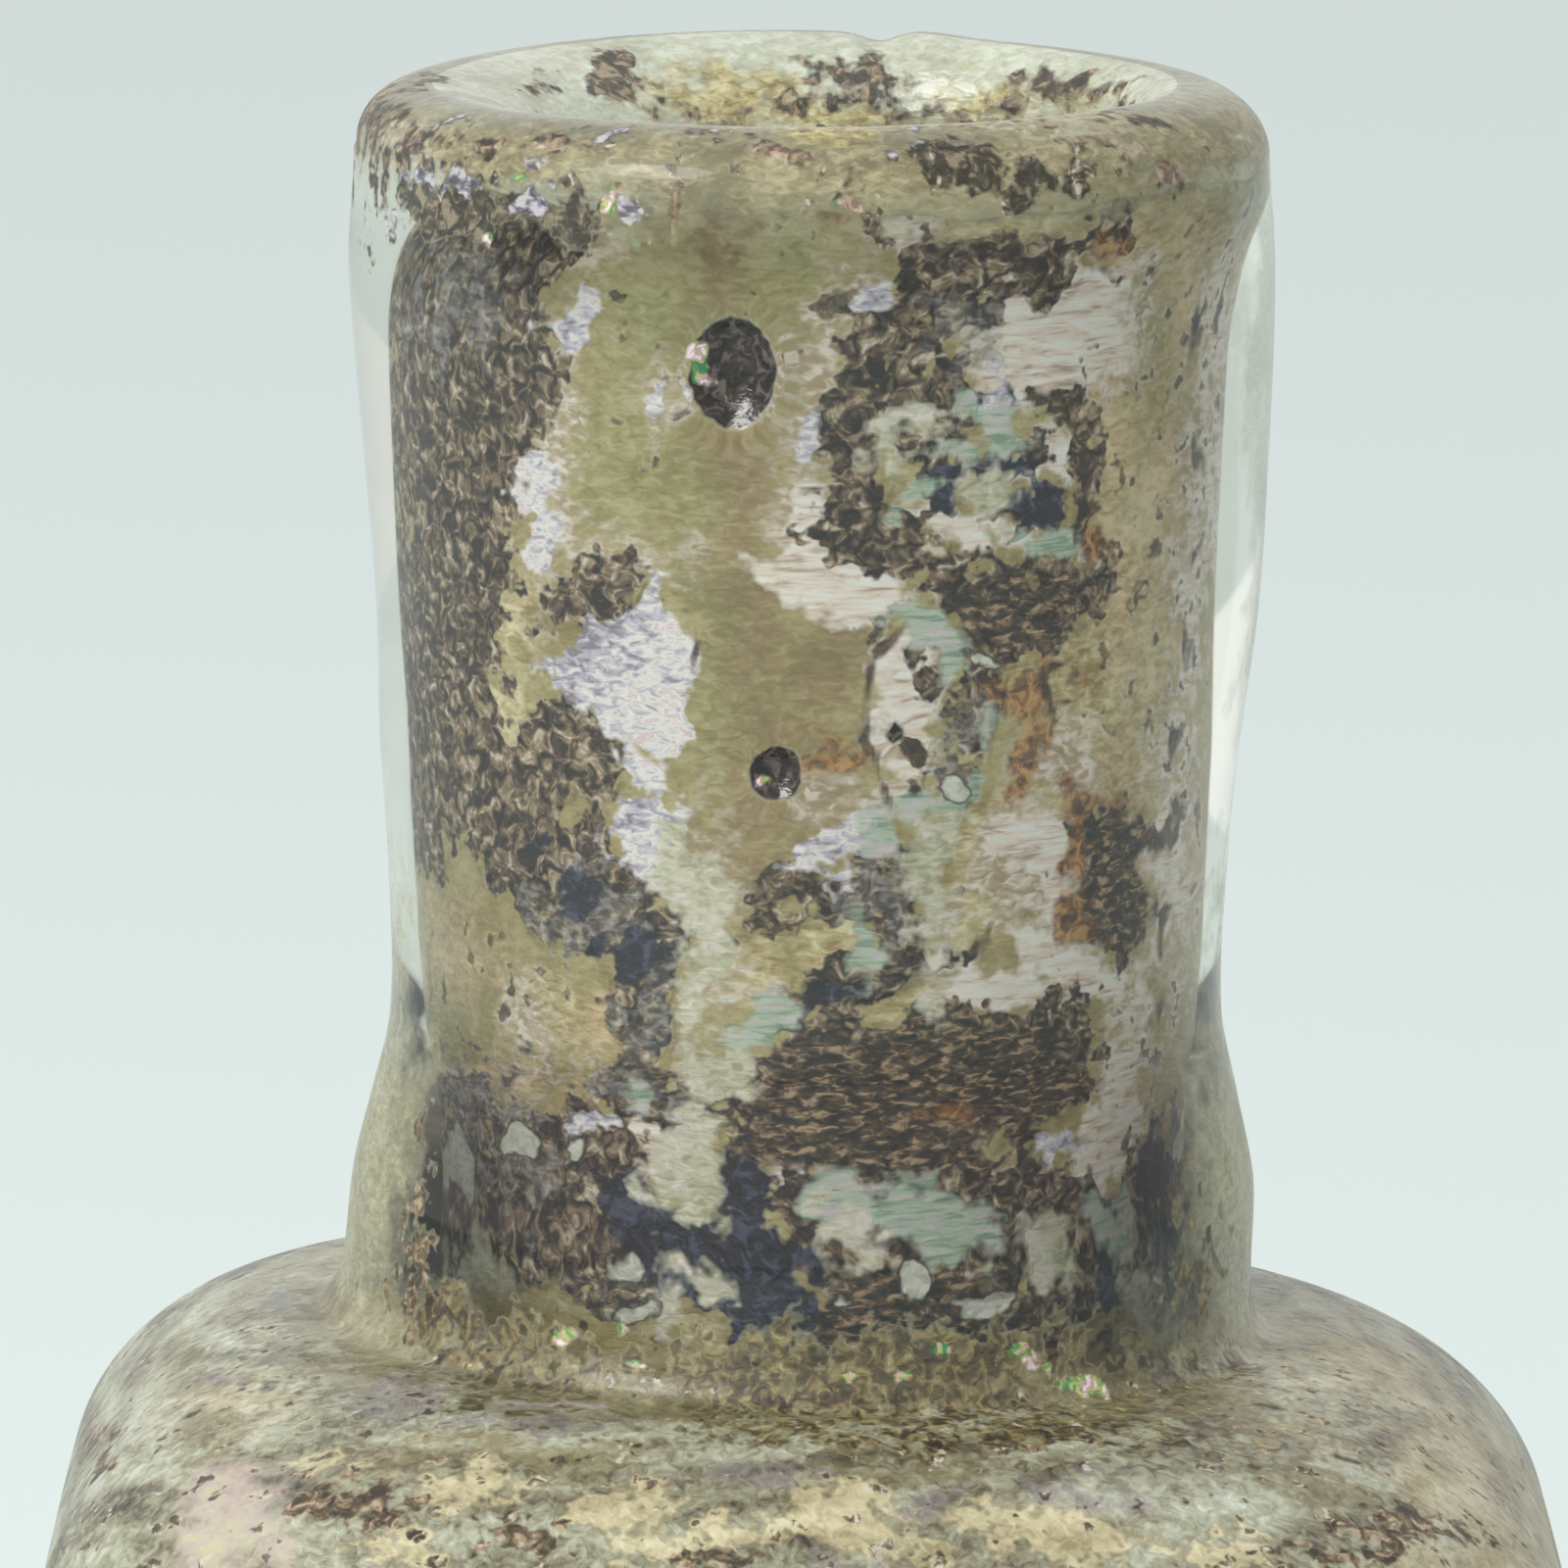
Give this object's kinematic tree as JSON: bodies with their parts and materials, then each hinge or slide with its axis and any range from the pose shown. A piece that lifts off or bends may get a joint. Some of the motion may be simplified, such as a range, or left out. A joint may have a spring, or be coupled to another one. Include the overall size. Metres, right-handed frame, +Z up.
{
  "type": "roman glass unguentarium",
  "caption": "Small thick-walled blown glass bottle with a round neck, a fire-rounded lip and a soft-cornered square body, weathered by burial.",
  "frame": {"origin": "middle of the flat ring that the bottle stands on", "axes": "+Z up along the neck, -Y towards the side that the picture shows, +X to its right"},
  "size_m": [0.0336, 0.0336, 0.0662],
  "materials": {
    "weathered_glass": "pale green glass, clear and glossy where clean, with olive film, dark crust and iridescent patches from burial"
  },
  "bodies": {
    "root": {"glass_bottle": "weathered_glass"}
  },
  "joints": []
}
